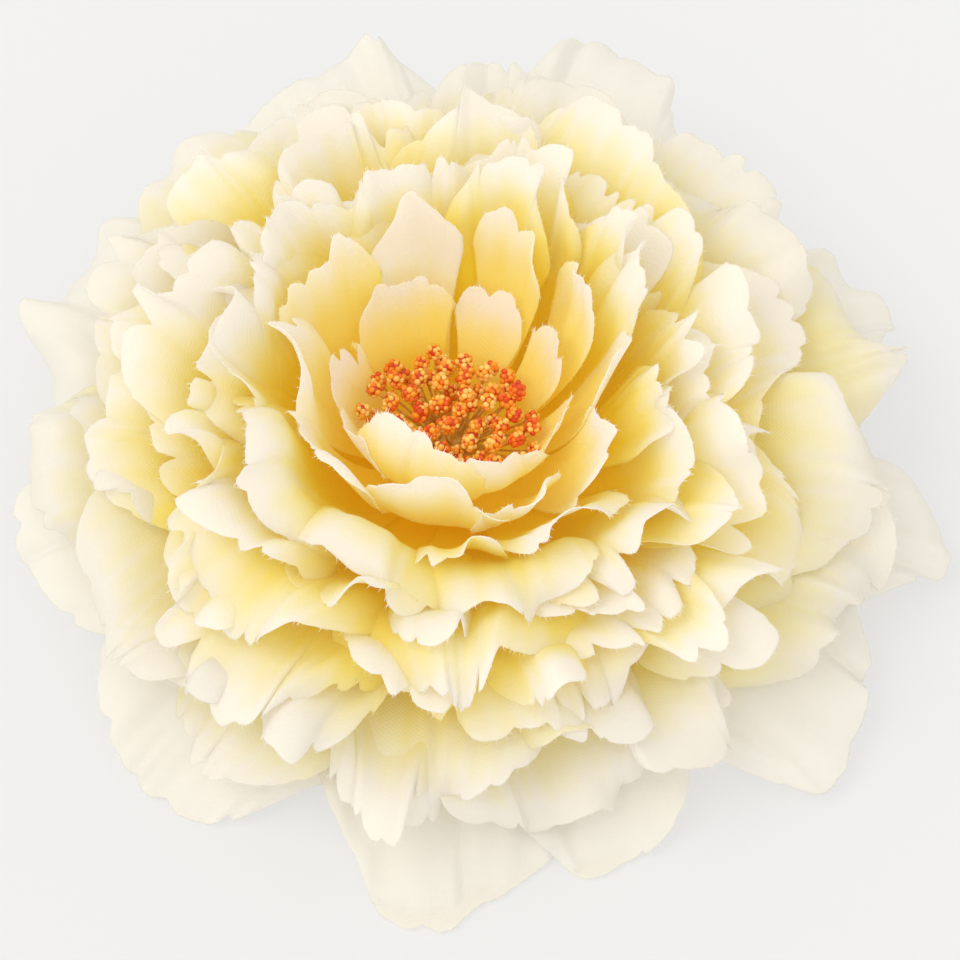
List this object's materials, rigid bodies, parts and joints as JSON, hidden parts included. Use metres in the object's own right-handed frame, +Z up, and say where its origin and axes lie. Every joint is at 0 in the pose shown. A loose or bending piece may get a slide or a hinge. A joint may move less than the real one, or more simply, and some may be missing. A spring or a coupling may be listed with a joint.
{
  "type": "artificial peony flower head",
  "caption": "Full-blown fabric peony head with ruffled petal layers, beaded stamens and a green calyx with a flat foot to rest on.",
  "frame": {"origin": "middle of the calyx's flat foot, on the surface that the head rests on", "axes": "+Z up through the bloom, along the post; -Y towards the front, where the bloom opens widest and its outer petals touch the surface"},
  "size_m": [0.1411, 0.1455, 0.0577],
  "materials": {
    "silk_outer": "woven, soft sheen",
    "silk_inner": "woven, soft sheen",
    "amber_beads": "gloss",
    "post_plastic": "matt",
    "green_plastic": "matt"
  },
  "bodies": {
    "root": {"petals_8_guard": "silk_outer", "petals_7": "silk_outer", "petals_6": "silk_outer", "petals_5": "silk_inner", "petals_4": "silk_inner", "petals_3": "silk_inner", "petals_2": "silk_inner", "petals_1_inner": "silk_inner", "stamens": "amber_beads", "core_post": "post_plastic", "calyx": "green_plastic"}
  },
  "joints": []
}
